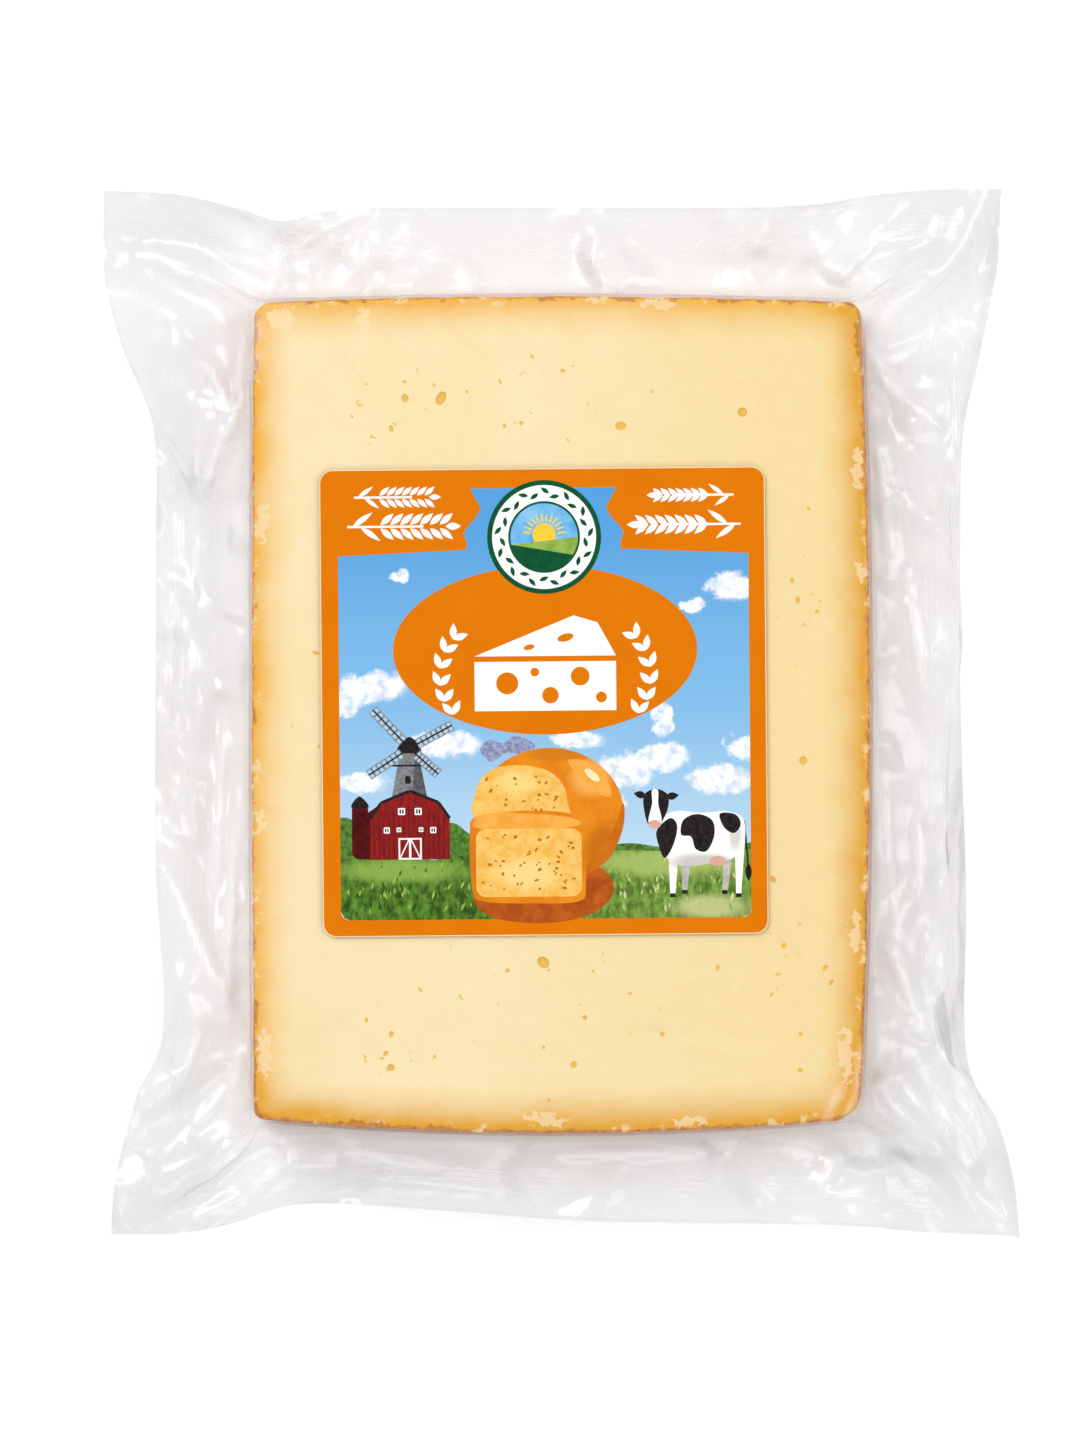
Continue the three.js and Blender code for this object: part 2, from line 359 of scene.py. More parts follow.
def settle_films():
    """Both films as arrays of places, counted from the weld's height. Coarse first, then finer."""
    rng = np.random.default_rng(3)
    sheets = flat_films(FIRST_ROWS, FIRST_COLUMNS)
    for level, rounds in enumerate(SETTLE_ROUNDS):
        if level:
            sheets = twice_as_fine(sheets)
        rows, columns = sheets.shape[1:3]
        step_x = FILM_WIDTH / (columns - 1)
        step_y = FILM_LENGTH / (rows - 1)
        edges = {
            side: smooth_line(points, rows if side in ("left", "right") else columns)
            for side, points in POUCH_EDGE.items()
        }
        # Small chance bumps in the margins decide which way each crease goes.
        clear = slab_depth(sheets, START_HALF_HEIGHT)[0].min(0) > BUMP_CLEARANCE
        bumps = rng.normal(size=(rows, columns)) * CHANCE_BUMP / 2**level
        sheets[..., 2] += np.where(clear, bumps, 0)
        before = sheets.copy()
        for k in range(rounds):
            drawn_in = 1 if level else min(1, (k + 1) / (DRAW_IN_SHARE * rounds))
            half_height = START_HALF_HEIGHT + (Slab.half.z - START_HALF_HEIGHT) * drawn_in
            speed = np.clip((sheets - before) * CARRIED_SPEED, -TOP_SPEED, TOP_SPEED)
            before = sheets.copy()
            sheets += speed
            sheets -= OUTWARD[..., None] * facing(sheets) * VACUUM * step_x
            sheets[..., 2] -= WEIGHT
            for _ in range(THREAD_PASSES):
                hold_film(sheets, step_x, step_y, BEND_STIFFNESS[level])
                press_together(sheets)
                past, way = slab_depth(sheets, half_height)
                sheets -= way * np.minimum(past, 0)[..., None]
                hold_edges(sheets, edges, drawn_in)
                np.maximum(sheets[..., 2], -middle, out=sheets[..., 2])
    return sheets


def make_film(name, sheet, height, flip):
    """A film's mesh: a flat grid whose points go where the film settled."""
    rows, columns = sheet.shape[:2]
    bm = bmesh.new()
    bmesh.ops.create_grid(bm, x_segments=columns - 1, y_segments=rows - 1, size=0.5)
    uv = bm.loops.layers.uv.new("film")
    for face in bm.faces:
        for loop in face.loops:
            loop[uv].uv = loop.vert.co.xy
    for v in bm.verts:
        column = round((v.co.x + 0.5) * (columns - 1))
        row = round((v.co.y + 0.5) * (rows - 1))
        v.co = Vector(sheet[row, column]) + Vector((0, 0, height))
    if flip:
        bmesh.ops.reverse_faces(bm, faces=bm.faces[:])
    return finished(bm, name)


def rounded(sheets):
    """The same sheets twice as fine, with soft bends between their points."""
    fine = twice_as_fine(sheets)
    for axis in (1, 2):
        line = np.moveaxis(fine, axis, 0)
        line[1:-1] = (line[:-2] + 2 * line[1:-1] + line[2:]) / 4
    return fine


def pinch(sheets, margin):
    """Raises the small sharp folds, and gives how high each point is on one."""
    highest = np.zeros(margin.shape)
    for *ends, width in FOLDS:
        start, end = np.array(ends[:2]) * MM, np.array(ends[2:]) * MM
        run = end - start
        away = sheets[0, ..., :2] - start
        along = np.clip((away @ run) / (run @ run), 0, 1)
        apart = np.linalg.norm(away - along[..., None] * run, axis=-1)
        rise = np.maximum(1 - apart / (width * MM), 0) * np.sin(np.pi * along) ** 0.7
        sheets[0, ..., 2] += FOLD_HEIGHT * width * MM * rise
        sheets[1, ..., 2] += FOLD_HEIGHT * width * MM * rise * margin
        highest = np.maximum(highest, rise)
    return highest


def mark(film, **values):
    """Stores a value for each point of a film, which its material reads by name."""
    for name, value in values.items():
        stored = film.data.attributes.new(name, "FLOAT", "POINT")
        stored.data.foreach_set("value", np.clip(value, 0, 1).ravel())


def finished(bm, name, smooth=True):
    """Turns a bmesh into an object of the scene."""
    mesh = bpy.data.meshes.new(name)
    bm.to_mesh(mesh)
    bm.free()
    for face in mesh.polygons:
        face.use_smooth = smooth
    piece = bpy.data.objects.new(name, mesh)
    bpy.context.scene.collection.objects.link(piece)
    return piece


sheets = rounded(settle_films())
margin = np.clip(1 - (sheets[0, ..., 2] - sheets[1, ..., 2]) / (2 * Slab.half.z), 0, 1)
fold = pinch(sheets, margin)
from_x, from_y = sheets[0, ..., 0] - Slab.centre.x, sheets[0, ..., 1] - Slab.centre.y
half_x, half_y = reach(from_x, from_y)
beyond_x = np.maximum(np.abs(from_x) - half_x, 0)
beyond_y = np.maximum(np.abs(from_y) - half_y, 0)
beside = np.hypot(beyond_x, beyond_y)
upper = make_film("upper_film_drawn", sheets[0], middle, flip=False)
lower = make_film("lower_film_drawn", sheets[1], middle, flip=True)
for film in (upper, lower):
    mark(film, margin=margin, fold=fold, near_slab=1 - beside / NEAR_REACH,
         off_slab=beside / OFF_REACH, corner=np.minimum(beyond_x, beyond_y) / CORNER_REACH)


# ---------- the slab ----------

def level_edges(bm):
    """The edges round the slab's two faces."""
    flat = []
    for edge in bm.edges:
        first, second = (v.co.z for v in edge.verts)
        if abs(first - second) < 1e-6:
            flat.append(edge)
    return flat


def make_slab():
    """A block with rounded corners, swollen sides and softened edges."""
    bm = bmesh.new()
    bmesh.ops.create_cube(bm, size=2)
    bmesh.ops.scale(bm, vec=Slab.half, verts=bm.verts)
    level = set(level_edges(bm))
    for edge in [e for e in bm.edges if e not in level]:
        corner = edge.verts[0].co
        bmesh.ops.bevel(bm, geom=[edge], offset=float(corner_radius(corner.x, corner.y)),
                        segments=9, profile=0.5, affect="EDGES", material=-1)
    long_edges = [e for e in level_edges(bm) if e.calc_length() > 20 * MM]
    bmesh.ops.subdivide_edges(bm, edges=long_edges, cuts=SIDE_CUTS, use_grid_fill=True)
    for v in bm.verts:
        half_x, half_y = reach(v.co.x, v.co.y)
        chips = 1.3 + noise.noise(v.co * 130) + 0.7 * noise.noise(v.co * 420)
        wear = WEAR_DEPTH * chips * (1 if v.co.z > 0 else 0.7)
        v.co.x *= (float(half_x) - wear) / Slab.half.x
        v.co.y *= (float(half_y) - wear) / Slab.half.y
    bmesh.ops.bevel(bm, geom=level_edges(bm), offset=EDGE_RADIUS, segments=4, profile=0.5,
                    affect="EDGES", material=-1)
    faces = [f for f in bm.faces if len(f.verts) > 8]
    bmesh.ops.inset_region(bm, faces=faces, thickness=FACE_INSET)
    bmesh.ops.translate(bm, vec=Slab.centre, verts=bm.verts)
    return finished(bm, "cheese_slab_cut")


def make_eyes():
    """The hollows to cut from the slab's two faces, as one object of many small bubbles."""
    chance = random.Random(11)
    eyes = [(x, y, radius, 2) for x, y, radius in EYES]
    for x, y, spread, count in SPECKS:
        for _ in range(count):
            place = chance.gauss(x, spread), chance.gauss(y, spread)
            if abs(place[0]) < SPECK_LIMITS[0] and abs(place[1]) < SPECK_LIMITS[1]:
                eyes.append((*place, chance.uniform(*SPECK_RADII), 1))
    bm = bmesh.new()
    for side in (1, -1):
        for x, y, radius, fineness in eyes:
            longest = LONGEST_EYE if fineness == 2 else LONGEST_SPECK
            radius *= EYE_SIZE * MM
            shape = Matrix.Diagonal((radius * chance.uniform(1, longest), radius,
                                     radius * EYE_DEPTH, 1))
            turn = Matrix.Rotation(chance.uniform(0, math.pi), 4, "Z")
            sunk = side * (Slab.half.z + chance.uniform(0, 0.3) * radius)
            place = Matrix.Translation(Slab.centre + Vector((side * x * MM, y * MM, sunk)))
            bmesh.ops.create_icosphere(bm, subdivisions=fineness, radius=1,
                                       matrix=place @ turn @ shape)
    return finished(bm, "eyes")


def cut(piece, tool):
    """Cuts the tool's shape out of the piece and throws the tool away."""
    step = piece.modifiers.new("cut", "BOOLEAN")
    step.operation = "DIFFERENCE"
    step.solver = "EXACT"
    step.use_self = True
    step.object = tool
    depsgraph = bpy.context.evaluated_depsgraph_get()
    mesh = bpy.data.meshes.new_from_object(piece.evaluated_get(depsgraph))
    piece.modifiers.clear()
    piece.data = mesh
    bpy.data.objects.remove(tool)


slab = make_slab()
cut(slab, make_eyes())
slab.data.set_sharp_from_angle(angle=math.radians(38))


# ---------- the label's print: outlines in millimetres from the label's centre ----------

def disc(x, y, wide, high=None, turn=0.0, count=40):
    """A round outline, or an oval one where high is given: wide and high are its radii."""
    high = wide if high is None else high
    points = []
    for k in range(count):
        a = 2 * math.pi * k / count
        px, py = wide * math.cos(a), high * math.sin(a)
        points.append((x + px * math.cos(turn) - py * math.sin(turn),
                       y + px * math.sin(turn) + py * math.cos(turn)))
    return points


def panel(left, low, right, high, radius, count=6):
    """A rectangle with rounded corners."""
    points = []
    corners = [(right - radius, high - radius, 0), (left + radius, high - radius, 1),
               (left + radius, low + radius, 2), (right - radius, low + radius, 3)]
    for x, y, quarter in corners:
        for k in range(count + 1):
            a = math.pi / 2 * (quarter + k / count)
            points.append((x + radius * math.cos(a), y + radius * math.sin(a)))
    return points


def blob(*points):
    """A closed smooth outline through the points."""
    count = len(points)
    outline = []
    for k in range(count):
        a, b, c, d = (np.array(points[(k + step) % count], float) for step in (-1, 0, 1, 2))
        for t in (0, 0.2, 0.4, 0.6, 0.8):
            bend = (2 * a - 5 * b + 4 * c - d) * t**2 + (-a + 3 * b - 3 * c + d) * t**3
            outline.append(tuple((2 * b + (c - a) * t + bend) / 2))
    return outline


def stroke(start, end, width, tip=None):
    """A straight line of ink, narrowing to tip where one is given."""
    tip = width if tip is None else tip
    run = Vector(end) - Vector(start)
    side = run.orthogonal().normalized() / 2
    corners = (Vector(start) + side * width, Vector(start) - side * width,
               Vector(end) - side * tip, Vector(end) + side * tip)
    return [tuple(c) for c in corners]


def leaf(x, y, length, turn, fat=0.3):
    """A pointed leaf that starts at x, y."""
    outline = []
    for k in range(16):
        t = k / 8 if k <= 8 else 2 - k / 8
        side = 1 if k <= 8 else -1
        along, across = t * length, side * fat * length * math.sin(math.pi * t) * (1 - 0.3 * t)
        outline.append((x + along * math.cos(turn) - across * math.sin(turn),
                        y + along * math.sin(turn) + across * math.cos(turn)))
    return outline


def anticlockwise(outline):
    """The outline the way round that the triangulation takes as its inside."""
    turning = sum(a[0] * b[1] - b[0] * a[1] for a, b in zip(outline, outline[1:] + outline[:1]))
    return outline if turning > 0 else outline[::-1]


class Print:
    """The label's outlines in the order that they are printed, each with its ink."""

    def __init__(self):
        self.marks = []

    def add(self, ink, *outlines):
        """Prints the outlines in one ink, over what is there already."""
        self.marks.extend((ink, anticlockwise(outline)) for outline in outlines)


def print_ground(art):
    """The paper, its orange border, and the window on the sky with the neck between the ribbons."""
    art.add("paper", panel(-40.25, -42.2, 40.25, 42.2, 2.4))
    art.add("orange", panel(-40.1, -42.05, 40.1, 42.05, 2.25))
    art.add("sky", panel(-37, -39.2, 37.2, 26.6, 1.6))
    art.add("sky", [(-37, 25), (-13.7, 25), (-13.7, 27.6), (-37, 26.6)])
    art.add("sky", [(37.2, 25), (37.2, 26.6), (14.3, 27.6), (14.3, 25)])
    neck = [(13.4, 38.7), (12.5, 36.9), (11.5, 35.2), (12.4, 33.4), (13.7, 32), (14.7, 30.6),
            (14.1, 29), (14.2, 26.4)]
    art.add("sky", [*neck, *((0.4 - x, y) for x, y in reversed(neck))])


def print_field(art):
    """The trees along the horizon and the pasture in front of them."""
    hedges = (
        blob((-38, -30), (-38, -22), (-36, -20.6), (-33.5, -22), (-31, -24), (-28, -30)),
        blob((-19, -30), (-18.5, -22.8), (-16.4, -21.8), (-14.4, -23.2), (-11.5, -25.6), (-9, -30)),
        blob((9, -29), (12, -26.2), (16, -25.7), (22, -26.5), (28, -25.8), (34, -26.2), (39, -25.8),
             (39, -30), (20, -30)),
    )
    for hedge in hedges:
        art.add("trees", [(min(max(x, -37), 37.2), y) for x, y in hedge])
    art.add("dusk", blob((-11.6, -8.6), (-10, -6.8), (-7.4, -7.4), (-5.6, -6.2), (-3.4, -6.6),
                         (-1.6, -8), (-3.6, -9.4), (-7, -9.2), (-9.6, -10.8)))
    rise = [(-37, -28.3), (-30, -27.6), (-20, -28.4), (-12, -27.2), (0, -27), (12, -26.9),
            (24, -27.2), (37.2, -27)]
    art.add("grass", [(-37, -37.6), (-36.4, -38.8), (-35.4, -39.2), (0, -39.2), *rise[4::-1]])
    art.add("meadow", [(0, -39.2), (35.6, -39.2), (36.8, -38.7), (37.2, -37.6), *rise[:3:-1]])
    chance = random.Random(5)
    for _ in range(190):
        x, y = chance.uniform(-35.8, 35.8), chance.uniform(-38.3, -28.8)
        tall = chance.uniform(0.5, 1) * (1 - 0.12 * (y + 28.8))
        tint = chance.choice(("grass_light", "grass_dark") if x < 0 else ("grass_light", "straw"))
        art.add(tint, leaf(x, y, tall, math.pi / 2 + chance.uniform(-0.5, 0.5), 0.16))


def print_windmill(art):
    """A tapering stone tower with a dark cap and four lattice sails."""
    hub = Vector((-24.4, -8.2))
    art.add("stone", [(-28, -19), (-26.4, -10.4), (-26, -8.6), (-23, -8.6), (-22.5, -10.4),
                      (-20.9, -19)])
    art.add("stone_dark", [(-24, -19), (-23.4, -8.6), (-23, -8.6), (-22.5, -10.4), (-20.9, -19)])
    art.add("ink", blob((-26.5, -8.9), (-25.9, -7.2), (-24.4, -6.1), (-23, -7.2), (-22.4, -8.9)))
    art.add("ink", stroke((-27.6, -11.3), (-21.5, -11.3), 0.35))
    art.add("ink", panel(-25.2, -14.6, -24.2, -13.2, 0.2, 2),
            panel(-25, -17.4, -24.1, -16.2, 0.2, 2))
    for degrees, length in ((133, 9.6), (28, 8.8), (213, 8.8), (318, 7)):
        way = Vector((math.cos(math.radians(degrees)), math.sin(math.radians(degrees))))
        side = way.orthogonal() * 0.95
        near, far = hub + way * 1.6, hub + way * length
        art.add("stone", stroke(near, far, 1.9))
        art.add("sky_pale", *(
            stroke(near + way * (k * (length - 1.6) / 7 + 0.2) + side * 0.16 * across,
                   near + way * ((k + 1) * (length - 1.6) / 7 - 0.15) + side * 0.16 * across, 0.62)
            for k in range(7) for across in (-3, 3)
        ))
        art.add("ink", stroke(hub, far, 0.3))
    art.add("ink", disc(hub.x, hub.y, 0.6, count=12))


def print_barn(art):
    """A red barn with a kinked roof, white windows and a crossed door, and its silo."""
    art.add("red_dark", panel(-34.9, -28.2, -31.9, -18, 1.3, 4), [(-33, -28.2), (-33, -20.5),
                        (-30, -18.4), (-30, -28.2)])
    art.add("ink", blob((-35, -18.8), (-33.5, -16.8), (-31.8, -18.8)))
    front = [(-31.6, -28.3), (-31.6, -20.9), (-29.6, -18), (-24.4, -15.9), (-19.2, -18),
             (-17.2, -20.9), (-17.2, -28.3)]
    art.add("red", front)
    art.add("red_dark", *(stroke((x, -28.2), (x, -21 + 0.35 * (7.2 - abs(x + 24.4))), 0.12)
                          for x in np.arange(-30.9, -17.4, 0.9)))
    roof = [front[1], front[2], front[3], front[4], front[5]]
    art.add("ink", *(stroke(a, b, 0.55) for a, b in zip(roof, roof[1:])))
    for x, y, size in ((-25.9, -19.6, 0.6375), (-22.9, -19.6, 0.6375), (-28.6, -23, 0.5525),
                       (-20.2, -23, 0.5525), (-26.4, -22.9, 0.425), (-22.4, -22.9, 0.425)):
        art.add("white", panel(x - size, y - size, x + size, y + size, 0.1, 1))
        art.add("ink", panel(x - 0.6 * size, y - 0.6 * size, x - 0.08, y + 0.6 * size, 0.05, 1),
                panel(x + 0.08, y - 0.6 * size, x + 0.6 * size, y + 0.6 * size, 0.05, 1))
    art.add("white", [(-26.5, -28.3), (-26.5, -24.4), (-22.3, -24.4), (-22.3, -28.3)])
    art.add("red", [(-26.2, -28), (-26.2, -24.7), (-24.6, -24.7), (-24.6, -28)],
            [(-24.2, -28), (-24.2, -24.7), (-22.6, -24.7), (-22.6, -28)])
    art.add("white", stroke((-26.2, -28), (-24.6, -24.7), 0.22),
            stroke((-24.2, -24.7), (-22.6, -28), 0.22))


def print_wheel(art):
    """A cheese wheel with a piece cut out of it, and the piece lying in front."""
    art.add("rust", blob((-13, -35.2), (-10.5, -38.4), (-4, -39.9), (4, -39.6), (10, -37.4),
                         (12.4, -33.4), (9, -29.6), (0, -29), (-9, -30.6)))
    art.add("rind", disc(0.7, -20.4, 13.6, 12.1, 0.05, 56))
    art.add("rind_dark", blob((6.5, -31.6), (11.4, -28.6), (14.1, -23), (14.2, -18.4),
                              (12.2, -23.6), (9.2, -27.6)))
    art.add("rind_light", blob((4.2, -10.6), (8, -10.9), (11, -13.6), (12, -17.2), (9.4, -16.4),
                               (6.4, -13.4)))
    art.add("glint", disc(8.6, -13.3, 1.7, 0.7, -0.7, 16))
    art.add("paste", blob((-12.5, -21), (-12.6, -16.4), (-10.3, -12.6), (-5.6, -11.4), (0, -12.2),
                          (3.2, -14.8), (4.1, -18.2), (4.2, -21.6), (-4, -21.4)))
    art.add("rind", blob((-13.2, -34), (-13.6, -24), (-12.4, -20.6), (-4, -19.6), (4.6, -20.2),
                         (7, -22.4), (7.3, -33), (6, -36.1), (-3, -36.4), (-11, -36)))
    art.add("rind_light", blob((-12.6, -22.6), (-11, -20.6), (-3, -20.2), (4.4, -20.9),
                               (6.2, -22.4), (-3, -23.2)))
    art.add("paste", panel(-12.5, -35.2, 6.6, -22.9, 1.8))
    chance = random.Random(8)
    for left, low, right, high, count in ((-11.5, -34, 5.6, -24, 46), (-11, -20, 2.6, -13.4, 20)):
        for _ in range(count):
            x, y = chance.uniform(left, right), chance.uniform(low, high)
            art.add("paste_dark", disc(x, y, chance.uniform(0.15, 0.5), chance.uniform(0.12, 0.3),
                                       chance.uniform(0, 3), 8))


def print_cow(art):
    """A black and white cow, standing and looking out of the picture."""
    art.add("ink", stroke((36, -21.8), (36.7, -30), 0.4, 0.3), leaf(36.7, -29.4, 3.4, -1.55, 0.2))
    legs = ((23.2, -27, 23, -35.2), (25.4, -27, 25.2, -34.6), (33.2, -26, 32.4, -34.7),
            (35.2, -25, 34.9, -35.3))
    for x, y, foot_x, foot_y in legs:
        art.add("white" if foot_y < -35 else "shade", stroke((x, y), (foot_x, foot_y), 1.9, 0.9))
        art.add("ink", stroke((foot_x, foot_y + 0.4), (foot_x, foot_y - 0.3), 1))
    art.add("white", blob((21.4, -21.2), (24, -19.9), (28, -20.3), (33, -20.1), (35.8, -21.4),
                          (36.1, -25), (34.6, -28.2), (30, -29.4), (25.6, -29.9), (22.4, -28.8),
                          (20.7, -25.6)))
    art.add("pink", disc(31.2, -29, 1.5, 0.9, 0, 14))
    art.add("ink", blob((25, -21.6), (27.5, -20.5), (30.2, -21.6), (30.6, -24.4), (29.2, -27.2),
                        (27.2, -26.8), (26.4, -24.6), (24.6, -24.2)))
    art.add("ink", blob((31.6, -20.5), (34.4, -20.6), (35.4, -22.4), (34.2, -24), (32.4, -23)))
    art.add("ink", blob((20.2, -23.4), (22.6, -21.2), (23.9, -22.6), (23.2, -26), (21.6, -28.4),
                        (20.5, -26)))
    art.add("ink", leaf(18.4, -17.2, 2.4, 2.9, 0.32), leaf(21.8, -17.4, 2.5, 0.15, 0.32))
    art.add("ink", blob((18, -16.9), (20.1, -15.9), (22.2, -16.9), (22.3, -19.2), (21.2, -21.8),
                        (19.9, -23.1), (18.6, -22.2), (17.9, -19.4)))
    art.add("white", blob((19.4, -16.2), (20.5, -16.2), (20.5, -18.6), (21.1, -21.6), (19.9, -23),
                          (18.7, -21.8), (19.4, -18.6)))
    art.add("pink", disc(19.8, -22.3, 1.15, 0.8, 0, 14))


def print_oval(art):
    """The orange oval with a plain white wedge of cheese between two sprigs."""
    art.add("orange", disc(0.3, 9.4, 27.5, 15.3, 0, 96))
    art.add("white", [(-12.5, 8.3), (5.5, 15.6), (9.8, 14.3), (13.1, 8.3)])
    art.add("white", [(-12.5, 7.3), (13.1, 7.3), (13.1, -1.6), (-12.5, -1.6)])
    art.add("orange", disc(-6.6, 3.4, 2, 2, 0, 24), disc(1.2, 1.2, 1.5, 1.5, 0, 20),
            disc(6.6, 4.6, 1.7, 1.7, 0, 24), disc(-1.6, 5.4, 0.8, 0.8, 0, 14),
            disc(10.4, 0.8, 1, 1, 0, 16), disc(4, 11.6, 1.5, 0.7, 0.25, 18),
            disc(-2.6, 9.9, 1, 0.5, 0.25, 14))
    for side in (1, -1):
        for k in range(6):
            bend = math.radians(-52 + 21 * k)
            x, y = 0.3 + side * (12.8 + 6.4 * math.cos(bend)), 4.6 + 8.6 * math.sin(bend)
            art.add("white", leaf(x, y, 2.9, math.pi / 2 - side * (0.75 - 0.16 * k), 0.26),
                    leaf(x, y, 2.9, math.pi / 2 + side * (0.45 + 0.16 * k), 0.26))


def print_roundel(art):
    """A round badge: a wreath of leaves on white, round a small sunrise over hills."""
    x, y = 0.3, 29.8
    art.add("green", disc(x, y, 10.3, count=72))
    art.add("white", disc(x, y, 9.4, count=72))
    art.add("green", disc(x, y, 6.5, count=56))
    art.add("badge_sky", disc(x, y, 6.1, count=56))
    ring = 7.95
    for k in range(26):
        a = 2 * math.pi * k / 26
        way = a + math.pi / 2 + (0.5 if k % 2 else -0.5)
        art.add("green", leaf(x + ring * math.cos(a), y + ring * math.sin(a), 1.9, way, 0.24))
    for k in range(12):
        a = math.radians(15 * k + 7)
        art.add("sun", stroke((x + 2.5 * math.cos(a), y + 0.4 + 2.5 * math.sin(a)),
                              (x + 3.9 * math.cos(a), y + 0.4 + 3.9 * math.sin(a)), 0.4, 0.2))
    art.add("sun", disc(x, y + 0.4, 2.1, count=24))
    for ink, drop, slope in (("grass_light", 0.6, 0.12), ("green", 2.2, -0.16)):
        art.add(ink, [(px, py) for px, py in disc(x, y, 6.1, count=56)
                      if py < y - drop + slope * (px - x)])


def print_sprig(art, x, y, side, size):
    """A white ear of wheat in a header ribbon, leaning towards the middle."""
    ahead = 0 if side > 0 else math.pi
    art.add("white", stroke((x - side * 8.5 * size, y), (x + side * 5 * size, y), 0.4))
    for k in range(7):
        seed = x + side * size * (-2.6 + 1.75 * k)
        for way in (0.62, -0.62):
            art.add("white", leaf(seed, y + 0.5 * way, 3.1 * size, ahead + way * 1.15, 0.21))
    art.add("white", leaf(x + side * 8.9 * size, y, 2.8 * size, ahead, 0.27))
    for back, way in ((7.6, 0.62), (6.2, -0.62)):
        art.add("white", leaf(x - side * back * size, y, 4.4 * size, ahead + way, 0.13))


def make_label():
    """The label as one thin sheet, parted into its inks."""
    art = Print()
    for part in (print_ground, print_field, print_windmill, print_barn, print_wheel, print_cow,
                 print_oval, print_roundel):
        part(art)
    for x, side in ((-26.6, 1), (27.2, -1)):
        print_sprig(art, x, 31.9, side, 1.02)
        print_sprig(art, x - side * 0.8, 37.2, side, 0.78)
    points, outlines = [], []
    for _, outline in art.marks:
        outlines.append(list(range(len(points), len(points) + len(outline))))
        points.extend(Vector(p) for p in outline)
    flat, _, faces, _, _, owners = delaunay_2d_cdt(points, [], outlines, 1, 1e-5)
    inks = sorted({ink for ink, _ in art.marks})
    centre = (label_low + label_high) / 2
    centre.z = label_high.z
    stuck = Matrix.Translation(centre) @ Matrix.Rotation(LABEL_TURN, 4, "Z")
    bm = bmesh.new()
    places = [bm.verts.new(stuck @ (p.to_3d() * MM)) for p in flat]
    for face, owner in zip(faces, owners):
        if owner:
            made = bm.faces.new([places[k] for k in face])
            made.material_index = inks.index(art.marks[max(owner)][0])
    bmesh.ops.delete(bm, geom=[v for v in bm.verts if not v.link_faces], context="VERTS")
    bmesh.ops.recalc_face_normals(bm, faces=bm.faces[:])
    if sum(f.normal.z for f in bm.faces) < 0:
        bmesh.ops.reverse_faces(bm, faces=bm.faces[:])
    bmesh.ops.solidify(bm, geom=bm.faces[:], thickness=LABEL_THICKNESS)
    return finished(bm, "printed_label", smooth=False), inks


label, inks = make_label()


# ---------- node helpers ----------

def node(tree, kind, inputs=None, **settings):
    """Adds a node with its settings, and fills its inputs with values or links."""
    made = tree.nodes.new("ShaderNode" + kind)
    for name, value in settings.items():
        setattr(made, name, value)
    for key, value in (inputs or {}).items():
        if isinstance(value, bpy.types.NodeSocket):
            tree.links.new(value, made.inputs[key])
        else:
            made.inputs[key].default_value = value
    return made


def maths(tree, operation, *values):
    """The result of one sum on values or sockets."""
    return node(tree, "Math", dict(enumerate(values)), operation=operation).outputs[0]


def times(tree, first, second):
    """The two multiplied."""
    return maths(tree, "MULTIPLY", first, second)


def scaled(tree, value, factor, start):
    """The value times the factor, counted from start."""
    return maths(tree, "MULTIPLY_ADD", value, factor, start)


def ease(tree, value, low, high):
    """0 below low and 1 above high, with a smooth step between them."""
    made = node(tree, "MapRange", {"Value": value, "From Min": low, "From Max": high},
                interpolation_type="SMOOTHSTEP")
    return made.outputs[0]


def mix(tree, share, first, second):
    """A colour between two: the first at share 0 and the second at 1."""
    made = node(tree, "Mix", {0: share}, data_type="RGBA")
    for socket, value in ((6, first), (7, second)):
        if isinstance(value, bpy.types.NodeSocket):
            tree.links.new(value, made.inputs[socket])
        else:
            made.inputs[socket].default_value = (*value, 1)
    return made.outputs[2]


def millimetres(tree, centre, stretch=(1, 1, 1)):
    """The piece's own coordinates in millimetres, counted from centre."""
    place = node(tree, "TexCoord").outputs["Object"]
    scale = [1 / MM * s for s in stretch]
    offset = [-c * k for c, k in zip(centre, scale)]
    return node(tree, "Mapping", {"Vector": place, "Location": offset, "Scale": scale}).outputs[0]


def cloudy(tree, vector, scale, detail=3.0, roughness=0.55):
    """Noise from 0 to 1, where scale is how many bumps a millimetre holds."""
    settings = {"Vector": vector, "Scale": scale, "Detail": detail, "Roughness": roughness}
    return node(tree, "TexNoise", settings).outputs[0]


def shifted(tree, noise_node, place, amount, still=0.5):
    """The place moved by a noise's colour times amount. A colour of still moves it nowhere."""
    shift = noise_node.outputs["Color"]
    if still:
        shift = node(tree, "VectorMath", {0: shift, 1: (still, still, still)},
                     operation="SUBTRACT").outputs[0]
    return node(tree, "VectorMath", {0: shift, 1: (*amount, 0), 2: place},
                operation="MULTIPLY_ADD").outputs[0]


def material_tree(name):
    """A new material with a Principled shader on its output."""
    material = bpy.data.materials.new(name)
    material.use_nodes = True
    tree = material.node_tree
    tree.nodes.clear()
    skin = node(tree, "BsdfPrincipled")
    node(tree, "OutputMaterial", {"Surface": skin.outputs[0]})
    return material, tree, skin


def bumped(tree, skin, height, distance, strength=1.0):
    """Gives a shader relief from a height, without changing the mesh."""
    bump = node(tree, "Bump", {"Height": height, "Distance": distance, "Strength": strength})
    tree.links.new(bump.outputs[0], skin.inputs["Normal"])


def rgb(code):
    """A colour from its code, as the shaders' linear light."""
    parts = [int(code[k : k + 2], 16) / 255 for k in (0, 2, 4)]
    return tuple(p / 12.92 if p < 0.04045 else ((p + 0.055) / 1.055) ** 2.4 for p in parts)


